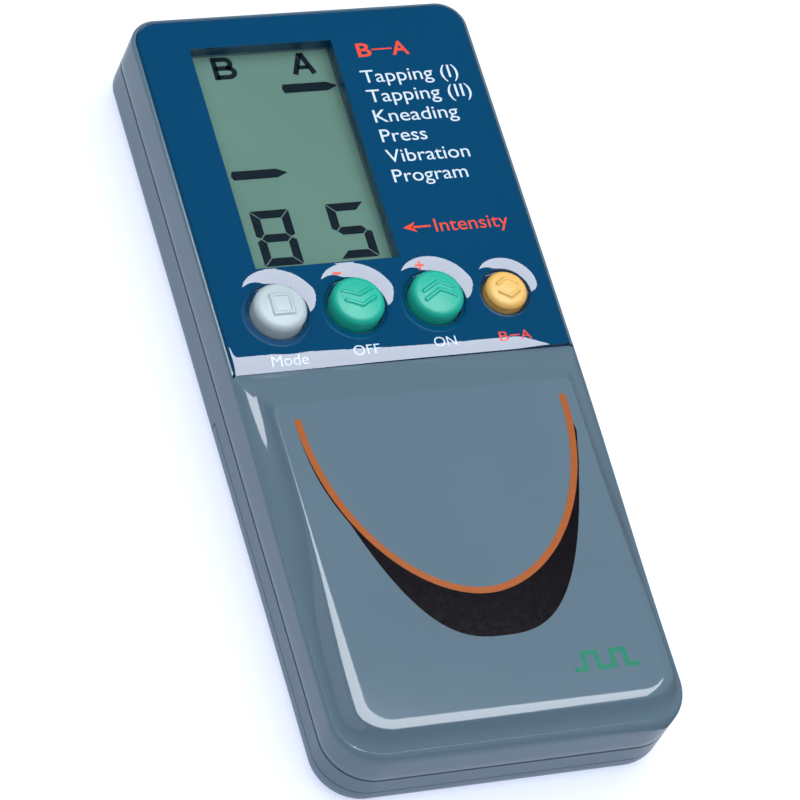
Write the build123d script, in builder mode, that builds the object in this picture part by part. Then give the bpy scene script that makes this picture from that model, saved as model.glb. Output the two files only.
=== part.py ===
"""Two-channel TENS unit: handheld case, blue face plate, four keys, LCD and battery bay.

Frame: the case lies on its back on Z = 0, +X across, +Y towards the display end, +Z out of
the face. All sizes in millimetres.
"""

import os

from build123d import *

os.makedirs("parts", exist_ok=True)

# case
WIDTH = 60.0
HALF_W = WIDTH / 2
LENGTH = 137.4
HALF_L = LENGTH / 2
WALL = 1.8
R_LOW = 8.1
R_TOP = 4.9
BACK_EDGE_R = 3.4
SEAM_LO = 8.4
SEAM_HI = 8.75
FACE_Z = 16.4
RIM_Z = 14.9
DECK_Z = 14.2
DECK_T = 1.6
SHOULDER_Z = 16.1
HUMP_Z = 19.0

# face plate
PLATE_X = 29.3
PLATE_Y0 = 0.65
PLATE_Y1 = 68.0
PLATE_R = 4.2
WIN_X0 = -20.6
WIN_X1 = 4.5
WIN_Y0 = 19.4
WIN_Y1 = 62.2
WIN_CX = (WIN_X0 + WIN_X1) / 2
WIN_CY = (WIN_Y0 + WIN_Y1) / 2
WIN_W = WIN_X1 - WIN_X0
WIN_H = WIN_Y1 - WIN_Y0

# keys: name, x, radius, height above the face
KEY_Y = 11.4
KEYS = (
    ("mode", -18.8, 4.5, 2.5),
    ("off", -5.3, 4.5, 2.4),
    ("on", 8.6, 4.5, 2.4),
    ("swap", 21.1, 3.6, 1.6),
)
KEY_GAP = 0.3
KEY_TRAVEL = 0.6
DISH_EXTRA = 3.8
DISH_DEPTH = 0.9
WELL_EXTRA = 1.5
WELL_DEPTH = 1.1
FLANGE_EXTRA = 0.8
FLANGE_T = 0.8
FLANGE_TOP = DECK_Z - DECK_T - 0.25

# electronics
PCB_TOP = 9.0
PCB_T = 1.4
PCB_BOT = PCB_TOP - PCB_T
TACT_H = 1.5
TACT_SIDE = 6.0
PLUNGER_R = 1.6
JACK_X = 13.0
JACK_Z = 5.4
JACK_R = 2.6
JACK_BORE_R = 1.78
JACK_BORE_L = 12.0

# battery bay: four AAA cells side by side along Y
CELL_R = 5.25
CELL_L = 43.5
CELL_PITCH = 10.9
CELL_Z = 7.6
CELL_SHIFT = 1.8
BAY_X = 22.2
BAY_Y0 = -60.2
BAY_Y1 = -9.8
BAY_CY = (BAY_Y0 + BAY_Y1) / 2
BAY_T = 1.2
BAY_Z1 = 13.6
DOOR_Y1 = -1.4
DOOR_Z1 = 4.5
DOOR_T = 1.6
DOOR_GAP = 0.2
TONGUE_W = 3.6

# screws
SCREW_TOP = (25.4, 62.4)
SCREW_LOW = (25.6, -56.0)
SCREW_SPOTS = (
    (-SCREW_TOP[0], SCREW_TOP[1]),
    (SCREW_TOP[0], SCREW_TOP[1]),
    (-SCREW_LOW[0], SCREW_LOW[1]),
    (SCREW_LOW[0], SCREW_LOW[1]),
)
PCB_SCREWS = ((-25.6, 46.0), (25.6, 46.0), (-25.6, 21.0), (25.6, 21.0))


def outline(inset, z):
    """Case outline in plan, inset all round, as a sketch at height z."""
    with BuildSketch(Plane.XY.offset(z)) as sk:
        Rectangle(WIDTH - 2 * inset, LENGTH - 2 * inset)
        low = sk.vertices().sort_by(Axis.Y)[:2]
        fillet(low, radius=R_LOW - inset)
        top = sk.vertices().sort_by(Axis.Y)[-2:]
        fillet(top, radius=R_TOP - inset)
    return sk.sketch


def hump_outline(half_w, y0, y1, r_low, z):
    """Plan section of the raised lower half: square upper corners, round lower ones."""
    with BuildSketch(Plane.XY.offset(z)) as sk:
        with Locations((0, (y0 + y1) / 2)):
            Rectangle(2 * half_w, y1 - y0)
        low = sk.vertices().sort_by(Axis.Y)[:2]
        fillet(low, radius=r_low)
    return sk.sketch


def save(builder, name):
    builder.part.label = name
    export_step(builder.part, "parts/" + name + ".step")


# ---------------------------------------------------------------- front shell
HUMP_BASE = hump_outline(29.1, -67.8, PLATE_Y0 - 0.1, 7.2, SHOULDER_Z)
HUMP_CREST = hump_outline(25.7, -64.6, -7.2, 4.6, HUMP_Z)
CAVITY_BASE = hump_outline(27.0, -65.6, -2.6, 5.4, SHOULDER_Z - 1.6)
CAVITY_CREST = hump_outline(23.8, -62.6, -9.0, 3.0, HUMP_Z - 1.7)

with BuildPart() as front_shell:
    add(outline(0, SEAM_HI))
    extrude(amount=RIM_Z - SEAM_HI)
    rim = front_shell.edges().group_by(Axis.Z)[-1]
    fillet(rim, radius=0.4)
    with BuildSketch(Plane.XY.offset(RIM_Z - 1.0)) as lower_plan:
        add(outline(0, RIM_Z - 1.0))
        with Locations((0, HALF_L + PLATE_Y0 - 0.1)):
            Rectangle(WIDTH + 2, LENGTH, mode=Mode.SUBTRACT)
    extrude(amount=SHOULDER_Z - RIM_Z + 1.0)
    shoulder = front_shell.edges().filter_by_position(Axis.Z, SHOULDER_Z - 0.01, SHOULDER_Z + 0.01)
    fillet(shoulder.filter_by_position(Axis.Y, -HALF_L - 1, -1.0), radius=0.7)
    with BuildSketch(Plane.XY.offset(SHOULDER_Z)):
        add(HUMP_BASE)
    with BuildSketch(Plane.XY.offset(HUMP_Z)):
        add(HUMP_CREST)
    loft(ruled=True)
    crest = front_shell.edges().group_by(Axis.Z)[-1]
    fillet(crest, radius=1.1)
    # rebate for the lip of the back shell, then the inside
    add(outline(WALL - 0.85, SEAM_HI))
    extrude(amount=1.1, mode=Mode.SUBTRACT)
    add(outline(WALL, SEAM_HI))
    extrude(amount=DECK_Z - DECK_T - SEAM_HI, mode=Mode.SUBTRACT)
    with BuildSketch(Plane.XY.offset(DECK_Z - DECK_T - 0.5)):
        with Locations((0, -34.0)):
            Rectangle(54.0, 62.8)
    extrude(amount=SHOULDER_Z - 1.6 - DECK_Z + DECK_T + 0.5, mode=Mode.SUBTRACT)
    with BuildSketch(Plane.XY.offset(SHOULDER_Z - 1.6)):
        add(CAVITY_BASE)
    with BuildSketch(Plane.XY.offset(HUMP_Z - 1.7)):
        add(CAVITY_CREST)
    loft(ruled=True, mode=Mode.SUBTRACT)
    # recess the face plate drops into
    with BuildSketch(Plane.XY.offset(DECK_Z)) as seat:
        with Locations((0, (PLATE_Y0 + PLATE_Y1) / 2)):
            Rectangle(2 * PLATE_X + 0.2, PLATE_Y1 - PLATE_Y0 + 0.2)
        fillet(seat.vertices().sort_by(Axis.Y)[-2:], radius=PLATE_R + 0.1)
    extrude(amount=5.0, mode=Mode.SUBTRACT)
    # display opening and key holes
    with BuildSketch(Plane.XY.offset(DECK_Z - DECK_T - 1)):
        with Locations((WIN_CX, WIN_CY)):
            Rectangle(WIN_W + 0.4, WIN_H + 0.4)
        for _, key_x, key_r, _ in KEYS:
            with Locations((key_x, KEY_Y)):
                Circle(key_r + KEY_GAP + 0.1)
    extrude(amount=DECK_T + 3, mode=Mode.SUBTRACT)
    # screw bosses with pilot holes
    with BuildSketch(Plane.XY.offset(SEAM_HI)):
        with Locations(*SCREW_SPOTS):
            Circle(2.0)
    extrude(amount=DECK_Z - DECK_T - SEAM_HI + 0.4)
    with BuildSketch(Plane.XY.offset(SEAM_HI)):
        with Locations(*SCREW_SPOTS):
            Circle(1.0)
    extrude(amount=3.6, mode=Mode.SUBTRACT)
    # posts the board is screwed to
    with BuildSketch(Plane.XY.offset(PCB_TOP)):
        with Locations(*PCB_SCREWS):
            Circle(1.9)
    extrude(amount=DECK_Z - DECK_T - PCB_TOP + 0.4)
    with BuildSketch(Plane.XY.offset(PCB_TOP)):
        with Locations(*PCB_SCREWS):
            Circle(0.85)
    extrude(amount=2.6, mode=Mode.SUBTRACT)
save(front_shell, "front_shell")

# ---------------------------------------------------------------- back shell
with BuildPart() as back_shell:
    add(outline(0, 0))
    extrude(amount=SEAM_LO)
    sole = back_shell.edges().group_by(Axis.Z)[0]
    fillet(sole, radius=BACK_EDGE_R)
    add(outline(WALL, WALL))
    extrude(amount=SEAM_LO, mode=Mode.SUBTRACT)
    # everything the battery door replaces
    with BuildSketch(Plane.XY):
        with Locations((0, DOOR_Y1 - 50)):
            Rectangle(WIDTH + 2, 100)
    extrude(amount=DOOR_Z1 + DOOR_GAP, mode=Mode.SUBTRACT)
    # locating lip inside the parting line
    add(outline(WALL - 0.7, SEAM_LO - 2.0))
    extrude(amount=3.2)
    add(outline(WALL, SEAM_LO - 2.1))
    extrude(amount=4.0, mode=Mode.SUBTRACT)
    # inner floor of the lower half, between the side walls and the battery bay
    add(outline(0.9, DOOR_Z1 + DOOR_GAP))
    extrude(amount=1.2)
    with BuildSketch(Plane.XY.offset(DOOR_Z1)):
        with Locations((0, (HALF_L - WALL + DOOR_Y1) / 2)):
            Rectangle(WIDTH - 2 * WALL, HALF_L - WALL - DOOR_Y1)
    extrude(amount=2.0, mode=Mode.SUBTRACT)
    # battery bay: a tub open to the back
    with BuildSketch(Plane.XY.offset(DOOR_T + 0.4)):
        with Locations((0, BAY_CY)):
            Rectangle(2 * (BAY_X + BAY_T), BAY_Y1 - BAY_Y0 + 2 * BAY_T)
    extrude(amount=BAY_Z1 + BAY_T - DOOR_T - 0.4)
    with BuildSketch(Plane.XY):
        with Locations((0, BAY_CY)):
            Rectangle(2 * BAY_X, BAY_Y1 - BAY_Y0)
    extrude(amount=BAY_Z1, mode=Mode.SUBTRACT)
    # slot along the bay's ends that the door's tongue runs through
    with BuildSketch(Plane.XY.offset(DOOR_T)):
        with Locations((0, BAY_CY)):
            Rectangle(TONGUE_W + 0.8, BAY_Y1 - BAY_Y0 + 4 * BAY_T)
    extrude(amount=2.2, mode=Mode.SUBTRACT)
    # bulkhead under the partition between bay and electronics
    with BuildSketch(Plane.XY.offset(0.8)):
        with Locations((0, DOOR_Y1 + 0.9)):
            Rectangle(WIDTH - 2 * WALL + 0.2, 1.6)
    extrude(amount=SEAM_LO - 0.8)
    with BuildSketch(Plane.XY.offset(WALL + 0.1)):
        with Locations((0, DOOR_Y1 + 0.9)):
            Rectangle(TONGUE_W + 1.2, 3.0)
    extrude(amount=2.0, mode=Mode.SUBTRACT)
    # rails the door slides on
    for side in (-1, 1):
        with BuildSketch(Plane.XY.offset(2.1)):
            with Locations((side * (BAY_X + BAY_T + 1.9), -33.0)):
                Rectangle(4.0, 36.0)
        extrude(amount=0.7)
    # posts for the case screws
    with BuildSketch(Plane.XY.offset(0.5)):
        with Locations(*SCREW_SPOTS[:2]):
            Circle(3.6)
    extrude(amount=SEAM_LO - 0.5)
    with BuildSketch(Plane.XY.offset(DOOR_Z1 + DOOR_GAP)):
        with Locations(*SCREW_SPOTS[2:]):
            Circle(2.4)
    extrude(amount=SEAM_LO - DOOR_Z1 - DOOR_GAP)
    with BuildSketch(Plane.XY):
        with Locations(*SCREW_SPOTS):
            Circle(1.3)
    extrude(amount=SEAM_LO + 2, mode=Mode.SUBTRACT)
    with BuildSketch(Plane.XY):
        with Locations(*SCREW_SPOTS[:2]):
            Circle(2.4)
    extrude(amount=5.2, mode=Mode.SUBTRACT)
    with BuildSketch(Plane.XY.offset(4)):
        with Locations(*SCREW_SPOTS[2:]):
            Circle(2.2)
    extrude(amount=2.0, mode=Mode.SUBTRACT)
    # openings for the output sockets
    with BuildSketch(Plane.XZ.offset(-HALF_L - 1)):
        with Locations((-JACK_X, JACK_Z), (JACK_X, JACK_Z)):
            Circle(JACK_R + 0.15)
    extrude(amount=WALL + 2, mode=Mode.SUBTRACT)
save(back_shell, "back_shell")

# ---------------------------------------------------------------- battery door
with BuildPart() as battery_door:
    add(outline(0, 0))
    extrude(amount=DOOR_Z1)
    door_sole = battery_door.edges().group_by(Axis.Z)[0]
    fillet(door_sole, radius=BACK_EDGE_R)
    with BuildSketch(Plane.XY.offset(-1)):
        with Locations((0, HALF_L + DOOR_Y1 - DOOR_GAP)):
            Rectangle(WIDTH + 2, LENGTH)
    extrude(amount=DOOR_Z1 + 2, mode=Mode.SUBTRACT)
    add(outline(WALL, DOOR_T))
    extrude(amount=DOOR_Z1, mode=Mode.SUBTRACT)
    # ribs that hook over the rails
    for side in (-1, 1):
        with BuildSketch(Plane.XY.offset(3.1)):
            with Locations((side * (HALF_W - WALL - 0.6), -34.0)):
                Rectangle(2.0, 36.0)
        extrude(amount=0.8)
    # latch tongue that snaps over the edge of the back shell's floor
    with BuildSketch(Plane.XY.offset(DOOR_T - 0.2)):
        with Locations((0, DOOR_Y1 - 4.0)):
            Rectangle(TONGUE_W, 2.0)
    extrude(amount=2.0)
    with BuildSketch(Plane.XY.offset(DOOR_T + 0.6)):
        with Locations((0, DOOR_Y1 - 0.6)):
            Rectangle(TONGUE_W, 7.0)
    extrude(amount=1.2)
    # thumb recess with grip ribs
    with BuildSketch(Plane.XY):
        with Locations((0, -14.0)):
            SlotOverall(26.0, 13.0)
    extrude(amount=0.6, mode=Mode.SUBTRACT)
    with BuildSketch(Plane.XY.offset(0.15)):
        for k in range(4):
            with Locations((0, -10.4 - 2.4 * k)):
                Rectangle(14.0, 0.9)
    extrude(amount=0.6)
save(battery_door, "battery_door")

# ---------------------------------------------------------------- face plate
with BuildPart() as face_plate:
    with BuildSketch(Plane.XY.offset(DECK_Z + 0.1)) as plate_plan:
        with Locations((0, (PLATE_Y0 + PLATE_Y1) / 2)):
            Rectangle(2 * PLATE_X, PLATE_Y1 - PLATE_Y0)
        fillet(plate_plan.vertices().sort_by(Axis.Y)[-2:], radius=PLATE_R)
    extrude(amount=FACE_Z - DECK_Z - 0.1)
    plate_top = face_plate.edges().group_by(Axis.Z)[-1]
    fillet(plate_top, radius=0.6)
    for _, key_x, key_r, _ in KEYS:
        rim_r = key_r + DISH_EXTRA
        ball_r = (rim_r**2 + DISH_DEPTH**2) / (2 * DISH_DEPTH)
        with Locations((key_x, KEY_Y, FACE_Z - DISH_DEPTH + ball_r)):
            Sphere(ball_r, mode=Mode.SUBTRACT)
        with BuildSketch(Plane.XY.offset(FACE_Z - WELL_DEPTH)):
            with Locations((key_x, KEY_Y)):
                Circle(key_r + WELL_EXTRA)
        extrude(amount=2.0, mode=Mode.SUBTRACT)
        with BuildSketch(Plane.XY.offset(DECK_Z - 1)):
            with Locations((key_x, KEY_Y)):
                Circle(key_r + KEY_GAP)
        extrude(amount=3.0, mode=Mode.SUBTRACT)
    with BuildSketch(Plane.XY.offset(DECK_Z - 1)):
        with Locations((WIN_CX, WIN_CY)):
            Rectangle(WIN_W, WIN_H)
    extrude(amount=5.0, mode=Mode.SUBTRACT)
save(face_plate, "face_plate")

# ---------------------------------------------------------------- window pane
with BuildPart() as lcd_window:
    with BuildSketch(Plane.XY.offset(FACE_Z - 1.6)):
        with Locations((WIN_CX, WIN_CY)):
            Rectangle(WIN_W - 0.04, WIN_H - 0.04)
    extrude(amount=1.6)
save(lcd_window, "lcd_window")

# ---------------------------------------------------------------- keys
for key_name, key_x, key_r, key_h in KEYS:
    with BuildPart() as key:
        with BuildSketch(Plane.XY.offset(FLANGE_TOP - FLANGE_T)):
            with Locations((key_x, KEY_Y)):
                Circle(key_r + FLANGE_EXTRA)
        extrude(amount=FLANGE_T)
        with BuildSketch(Plane.XY.offset(FLANGE_TOP - 0.1)):
            with Locations((key_x, KEY_Y)):
                Circle(key_r)
        extrude(amount=FACE_Z + key_h - FLANGE_TOP + 0.1)
        fillet(key.edges().group_by(Axis.Z)[-1], radius=1.1)
        with BuildSketch(Plane.XY.offset(PCB_TOP + TACT_H + KEY_TRAVEL + 0.05)):
            with Locations((key_x, KEY_Y)):
                Circle(1.5)
        extrude(amount=1.0)
    save(key, key_name + "_button")
    with BuildPart() as plunger:
        with BuildSketch(Plane.XY.offset(PCB_TOP + 0.75)):
            with Locations((key_x, KEY_Y)):
                Circle(PLUNGER_R)
        extrude(amount=TACT_H + KEY_TRAVEL - 0.75)
    save(plunger, key_name + "_plunger")

# ---------------------------------------------------------------- tact switches
with BuildPart() as tact_switches:
    for _, key_x, _, _ in KEYS:
        with BuildSketch(Plane.XY.offset(PCB_TOP)):
            with Locations((key_x, KEY_Y)):
                Rectangle(TACT_SIDE, TACT_SIDE)
        extrude(amount=TACT_H)
        with BuildSketch(Plane.XY.offset(PCB_TOP + 0.1)):
            with Locations((key_x, KEY_Y)):
                Circle(PLUNGER_R + 0.08)
        extrude(amount=TACT_H, mode=Mode.SUBTRACT)
save(tact_switches, "tact_switches")

# ---------------------------------------------------------------- display
LCD_TOP = 13.7
LCD_BOT = 11.3
with BuildPart() as lcd_panel:
    with BuildSketch(Plane.XY.offset(LCD_BOT)):
        with Locations((WIN_CX, WIN_CY)):
            Rectangle(WIN_W, WIN_H)
    extrude(amount=LCD_TOP - LCD_BOT)
    with BuildSketch(Plane.XY.offset(LCD_BOT)):
        with Locations((WIN_CX, WIN_CY)):
            Rectangle(WIN_W + 3.0, WIN_H + 3.0)
    extrude(amount=1.1)
save(lcd_panel, "lcd_panel")

with BuildPart() as lcd_holder:
    with BuildSketch(Plane.XY.offset(PCB_TOP)):
        with Locations((WIN_CX, WIN_CY)):
            Rectangle(WIN_W + 5.4, WIN_H + 5.4)
            Rectangle(WIN_W + 3.2, WIN_H + 3.2, mode=Mode.SUBTRACT)
    extrude(amount=3.3)
    with BuildSketch(Plane.XY.offset(PCB_TOP)):
        with Locations((WIN_CX, WIN_CY)):
            Rectangle(WIN_W + 4.0, WIN_H - 7.0)
    extrude(amount=LCD_BOT - PCB_TOP - 0.05)
save(lcd_holder, "lcd_holder")

with BuildPart() as zebra_strips:
    with BuildSketch(Plane.XY.offset(PCB_TOP)):
        for end in (-1, 1):
            with Locations((WIN_CX, WIN_CY + end * (WIN_H / 2 - 1.2))):
                Rectangle(WIN_W, 2.4)
    extrude(amount=LCD_BOT - PCB_TOP)
save(zebra_strips, "zebra_strips")

# ---------------------------------------------------------------- main board and parts
with BuildPart() as main_pcb:
    with BuildSketch(Plane.XY.offset(PCB_BOT)):
        with Locations((0, 34.0)):
            Rectangle(54.4, 64.0)
        with Locations(*SCREW_SPOTS[:2]):
            Rectangle(11.0, 11.0, mode=Mode.SUBTRACT)
        with Locations((-JACK_X, 62.0), (JACK_X, 62.0)):
            Rectangle(9.0, 15.0, mode=Mode.SUBTRACT)
        with Locations(*PCB_SCREWS):
            Circle(1.1, mode=Mode.SUBTRACT)
    extrude(amount=PCB_T)
save(main_pcb, "main_pcb")

with BuildPart() as pcb_screws:
    for spot in PCB_SCREWS:
        with BuildSketch(Plane.XY.offset(PCB_BOT - 1.1)):
            with Locations(spot):
                Circle(1.7)
        extrude(amount=1.1)
        with BuildSketch(Plane.XY.offset(PCB_BOT - 0.1)):
            with Locations(spot):
                Circle(0.82)
        extrude(amount=PCB_T + 2.4)
save(pcb_screws, "pcb_screws")

with BuildPart() as controller_chip:
    with BuildSketch(Plane.XY.offset(PCB_BOT - 1.9)):
        with Locations((4.0, 42.0)):
            Rectangle(12.0, 12.0)
    extrude(amount=1.7)
    with BuildSketch(Plane.XY.offset(PCB_BOT - 0.4)):
        for k in range(10):
            with Locations((-1.4 + 1.2 * k, 42.0)):
                Rectangle(0.5, 15.0)
            with Locations((4.0, 36.6 + 1.2 * k)):
                Rectangle(15.0, 0.5)
    extrude(amount=0.4)
save(controller_chip, "controller_chip")

with BuildPart() as output_transformers:
    for t_x in (-14.5, 14.5):
        with BuildSketch(Plane.XY.offset(PCB_BOT - 5.4)):
            with Locations((t_x, 21.0)):
                Rectangle(12.0, 10.0)
        extrude(amount=5.2)
        with BuildSketch(Plane.XY.offset(PCB_BOT - 4.6)):
            with Locations((t_x, 21.0)):
                Rectangle(8.6, 13.0)
        extrude(amount=3.6)
        with BuildSketch(Plane.XY.offset(PCB_BOT - 0.6)):
            with Locations((t_x - 4.0, 21.0), (t_x + 4.0, 21.0)):
                Rectangle(1.0, 12.6)
        extrude(amount=0.6)
save(output_transformers, "output_transformers")

with BuildPart() as capacitors:
    for c_x, c_y, c_r in ((-6.0, 33.0, 2.5), (-13.0, 33.0, 2.5), (-19.5, 33.0, 2.0), (16.0, 33.0, 2.0)):
        with BuildSketch(Plane.XY.offset(PCB_BOT - 5.2)):
            with Locations((c_x, c_y)):
                Circle(c_r)
        extrude(amount=5.2)
save(capacitors, "capacitors")

with BuildPart() as transistors:
    for q_x in (-19.0, -10.0, 10.0, 19.0):
        with BuildSketch(Plane.XY.offset(PCB_BOT - 1.5)):
            with Locations((q_x, 10.0)):
                Rectangle(4.5, 2.6)
        extrude(amount=1.5)
        with BuildSketch(Plane.XY.offset(PCB_BOT - 0.4)):
            with Locations((q_x, 10.0)):
                Rectangle(1.6, 4.6)
        extrude(amount=0.4)
save(transistors, "transistors")

with BuildPart() as crystal:
    with BuildSketch(Plane.XY.offset(PCB_BOT - 3.4)):
        with Locations((18.0, 45.0)):
            SlotOverall(10.4, 4.4)
    extrude(amount=3.4)
save(crystal, "crystal")

with BuildPart() as buzzer:
    with BuildSketch(Plane.XY.offset(PCB_BOT - 4.6)):
        with Locations((-17.0, 45.0)):
            Circle(6.0)
    extrude(amount=4.6)
    with BuildSketch(Plane.XY.offset(PCB_BOT - 4.7)):
        with Locations((-17.0, 45.0)):
            Circle(1.2)
    extrude(amount=1.0, mode=Mode.SUBTRACT)
save(buzzer, "buzzer")

# ---------------------------------------------------------------- output sockets
for jack_name, jack_x in (("output_jack_a", -JACK_X), ("output_jack_b", JACK_X)):
    with BuildPart() as jack:
        with BuildSketch(Plane.XZ.offset(-HALF_L + 0.4)):
            with Locations((jack_x, JACK_Z)):
                Circle(JACK_R)
        extrude(amount=4.0)
        with BuildSketch(Plane.XZ.offset(-HALF_L + WALL + 0.3)):
            with Locations((jack_x, JACK_Z - 0.25)):
                Rectangle(8.4, 6.3)
        extrude(amount=11.0)
        with BuildSketch(Plane.XZ.offset(-HALF_L - 1)):
            with Locations((jack_x, JACK_Z)):
                Circle(JACK_BORE_R)
        extrude(amount=JACK_BORE_L + 1.4, mode=Mode.SUBTRACT)
    save(jack, jack_name)

# ---------------------------------------------------------------- batteries
for index in range(4):
    cell_x = (index - 1.5) * CELL_PITCH
    way = 1 if index % 2 == 0 else -1
    mid_y = BAY_CY + way * CELL_SHIFT
    with BuildPart() as cell:
        with BuildSketch(Plane.XZ.offset(-mid_y - CELL_L / 2)):
            with Locations((cell_x, CELL_Z)):
                Circle(CELL_R)
        extrude(amount=CELL_L)
        fillet(cell.edges().filter_by(GeomType.CIRCLE), radius=0.5)
        nub_y = mid_y + way * CELL_L / 2
        with BuildSketch(Plane.XZ.offset(-nub_y - (1.0 if way > 0 else 0.0))):
            with Locations((cell_x, CELL_Z)):
                Circle(1.9)
        extrude(amount=1.0)
    save(cell, "battery_cell_" + str(index + 1))

with BuildPart() as battery_contacts:
    for index in range(4):
        cell_x = (index - 1.5) * CELL_PITCH
        plus_y = BAY_Y1 - 0.3 if index % 2 == 0 else BAY_Y0 + 0.3
        minus_y = BAY_Y0 + 0.15 if index % 2 == 0 else BAY_Y1 - 0.15
        with BuildSketch(Plane.XY.offset(CELL_Z - 4.0)):
            with Locations((cell_x, plus_y)):
                Rectangle(8.4, 0.6)
            with Locations((cell_x, minus_y)):
                Rectangle(8.4, 0.3)
        extrude(amount=8.0)
save(battery_contacts, "battery_contacts")

with BuildPart() as battery_springs:
    for index in range(4):
        cell_x = (index - 1.5) * CELL_PITCH
        from_y = BAY_Y0 + 0.55 if index % 2 == 0 else BAY_Y1 - 0.55
        way = 1 if index % 2 == 0 else -1
        with BuildLine():
            coil = Helix(1.1, 4.4, 2.6, center=(cell_x, from_y, CELL_Z), direction=(0, way, 0))
        with BuildSketch(Plane(origin=coil @ 0, z_dir=coil % 0)):
            Circle(0.22)
        sweep(path=coil, is_frenet=True)
save(battery_springs, "battery_springs")

# ---------------------------------------------------------------- battery leads
for lead_name, lead_x in (("battery_lead_plus", -17.0), ("battery_lead_minus", 17.0)):
    with BuildPart() as lead:
        with BuildLine(Plane.YZ.offset(lead_x)):
            run = Spline((BAY_Y1 + BAY_T + 0.1, 11.2), (-4.0, 11.0), (1.0, 10.4), (4.6, PCB_TOP + 0.62))
        with BuildSketch(Plane(origin=run @ 0, z_dir=run % 0)):
            Circle(0.55)
        sweep(path=run)
    save(lead, lead_name)

# ---------------------------------------------------------------- case screws
with BuildPart() as case_screws:
    for (spot_x, spot_y), seat_z in zip(SCREW_SPOTS, (5.2, 5.2, 6.0, 6.0)):
        with BuildSketch(Plane.XY.offset(seat_z - 1.5)):
            with Locations((spot_x, spot_y)):
                Circle(1.95)
        extrude(amount=1.5)
        with BuildSketch(Plane.XY.offset(seat_z - 1.6)):
            with Locations((spot_x, spot_y)):
                Rectangle(2.4, 0.55)
                Rectangle(0.55, 2.4)
        extrude(amount=0.8, mode=Mode.SUBTRACT)
        with BuildSketch(Plane.XY.offset(seat_z - 0.2)):
            with Locations((spot_x, spot_y)):
                Circle(0.98)
        extrude(amount=6.4)
save(case_screws, "case_screws")
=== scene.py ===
"""Hand-held two-channel nerve stimulator: mouldings, prints, finishes and studio.

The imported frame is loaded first. Working numbers inside the builders are in
millimetres; the settings that a user would change are scene lengths and colours.
"""

import math

import bmesh
import bpy
import numpy as np
from mathutils import Matrix, Vector
from mathutils.geometry import delaunay_2d_cdt


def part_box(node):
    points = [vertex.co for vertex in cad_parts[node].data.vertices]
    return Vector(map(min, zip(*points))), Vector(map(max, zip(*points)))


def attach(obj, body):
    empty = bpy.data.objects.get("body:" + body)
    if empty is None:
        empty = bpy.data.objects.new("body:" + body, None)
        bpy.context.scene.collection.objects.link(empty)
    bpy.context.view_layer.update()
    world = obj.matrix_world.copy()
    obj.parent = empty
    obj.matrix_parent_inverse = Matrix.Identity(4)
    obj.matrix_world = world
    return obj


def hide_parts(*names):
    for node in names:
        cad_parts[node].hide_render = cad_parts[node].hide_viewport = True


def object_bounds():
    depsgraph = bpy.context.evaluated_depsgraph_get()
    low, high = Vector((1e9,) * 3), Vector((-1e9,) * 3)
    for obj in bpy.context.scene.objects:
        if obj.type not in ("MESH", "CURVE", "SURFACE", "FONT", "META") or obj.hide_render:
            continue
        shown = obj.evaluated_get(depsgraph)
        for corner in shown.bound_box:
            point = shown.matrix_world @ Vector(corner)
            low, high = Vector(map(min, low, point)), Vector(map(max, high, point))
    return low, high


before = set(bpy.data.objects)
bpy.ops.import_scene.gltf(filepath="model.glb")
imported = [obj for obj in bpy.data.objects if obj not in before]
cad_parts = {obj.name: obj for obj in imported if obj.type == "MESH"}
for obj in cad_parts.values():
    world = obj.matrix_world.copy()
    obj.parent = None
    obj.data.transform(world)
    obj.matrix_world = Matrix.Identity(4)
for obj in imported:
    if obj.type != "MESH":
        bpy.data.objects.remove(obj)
CAD_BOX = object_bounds()

bl_info = {
    "name": "Nerve Stimulator Builder",
    "version": (1, 0, 0),
    "blender": (4, 5, 0),
    "location": "View3D > Sidebar > Stimulator",
    "description": "Builds the mouldings, prints and finishes of a hand-held stimulator",
    "category": "Object",
}

TO_METRES = 0.001
TO_MM = 1000.0
HOUSING = "case"


def lower(node):
    """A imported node's lowest corner in millimetres."""
    return tuple(c * TO_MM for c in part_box(node)[0])


def upper(node):
    """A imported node's highest corner in millimetres."""
    return tuple(c * TO_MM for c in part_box(node)[1])


HALF_WIDTH = upper("front_shell")[0]
HALF_LENGTH = upper("front_shell")[1]
SEAM_HEIGHT_FRONT = lower("front_shell")[2]
PLATEAU_HEIGHT = upper("front_shell")[2]
PLATE_HALF = upper("face_plate")[0]
PLATE_FOOT = lower("face_plate")[1]
PLATE_HEAD = upper("face_plate")[1]
FACE_HEIGHT = upper("face_plate")[2]
PANE_LOW = lower("lcd_window")
PANE_HIGH = upper("lcd_window")
GLASS_HEIGHT = upper("lcd_panel")[2]


# ------------------------------------------------------------------ settings
def length_prop(name, description, default):
    return bpy.props.FloatProperty(
        name=name, description=description, default=default, unit="LENGTH", precision=5
    )


def colour_prop(name, description, default):
    return bpy.props.FloatVectorProperty(
        name=name,
        description=description,
        default=default,
        subtype="COLOR",
        size=3,
        min=0.0,
        max=1.0,
    )


class HousingSettings(bpy.types.PropertyGroup):
    """Sizes and colour of the grey mouldings."""

    wall: length_prop("Wall", "Thickness of the moulding", 0.0018)
    shoulder_near: length_prop("Shoulder at the face", "Edge radius beside the face plate", 0.0006)
    shoulder_far: length_prop("Shoulder at the foot", "Edge radius at the foot end", 0.0021)
    shoulder_fall: length_prop("Shoulder fall", "How far the side edge falls at the foot end", 0.0012)
    crest_half: length_prop("Plateau half width", "From the middle to the plateau's edge", 0.0257)
    crest_side_radius: length_prop("Plateau side edge", "Largest edge radius along the sides", 0.004)
    crest_foot_radius: length_prop("Plateau foot edge", "Edge radius at the foot end", 0.003)
    grey: colour_prop("Housing grey", "Colour of the moulded housing", (0.112, 0.178, 0.235))


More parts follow.
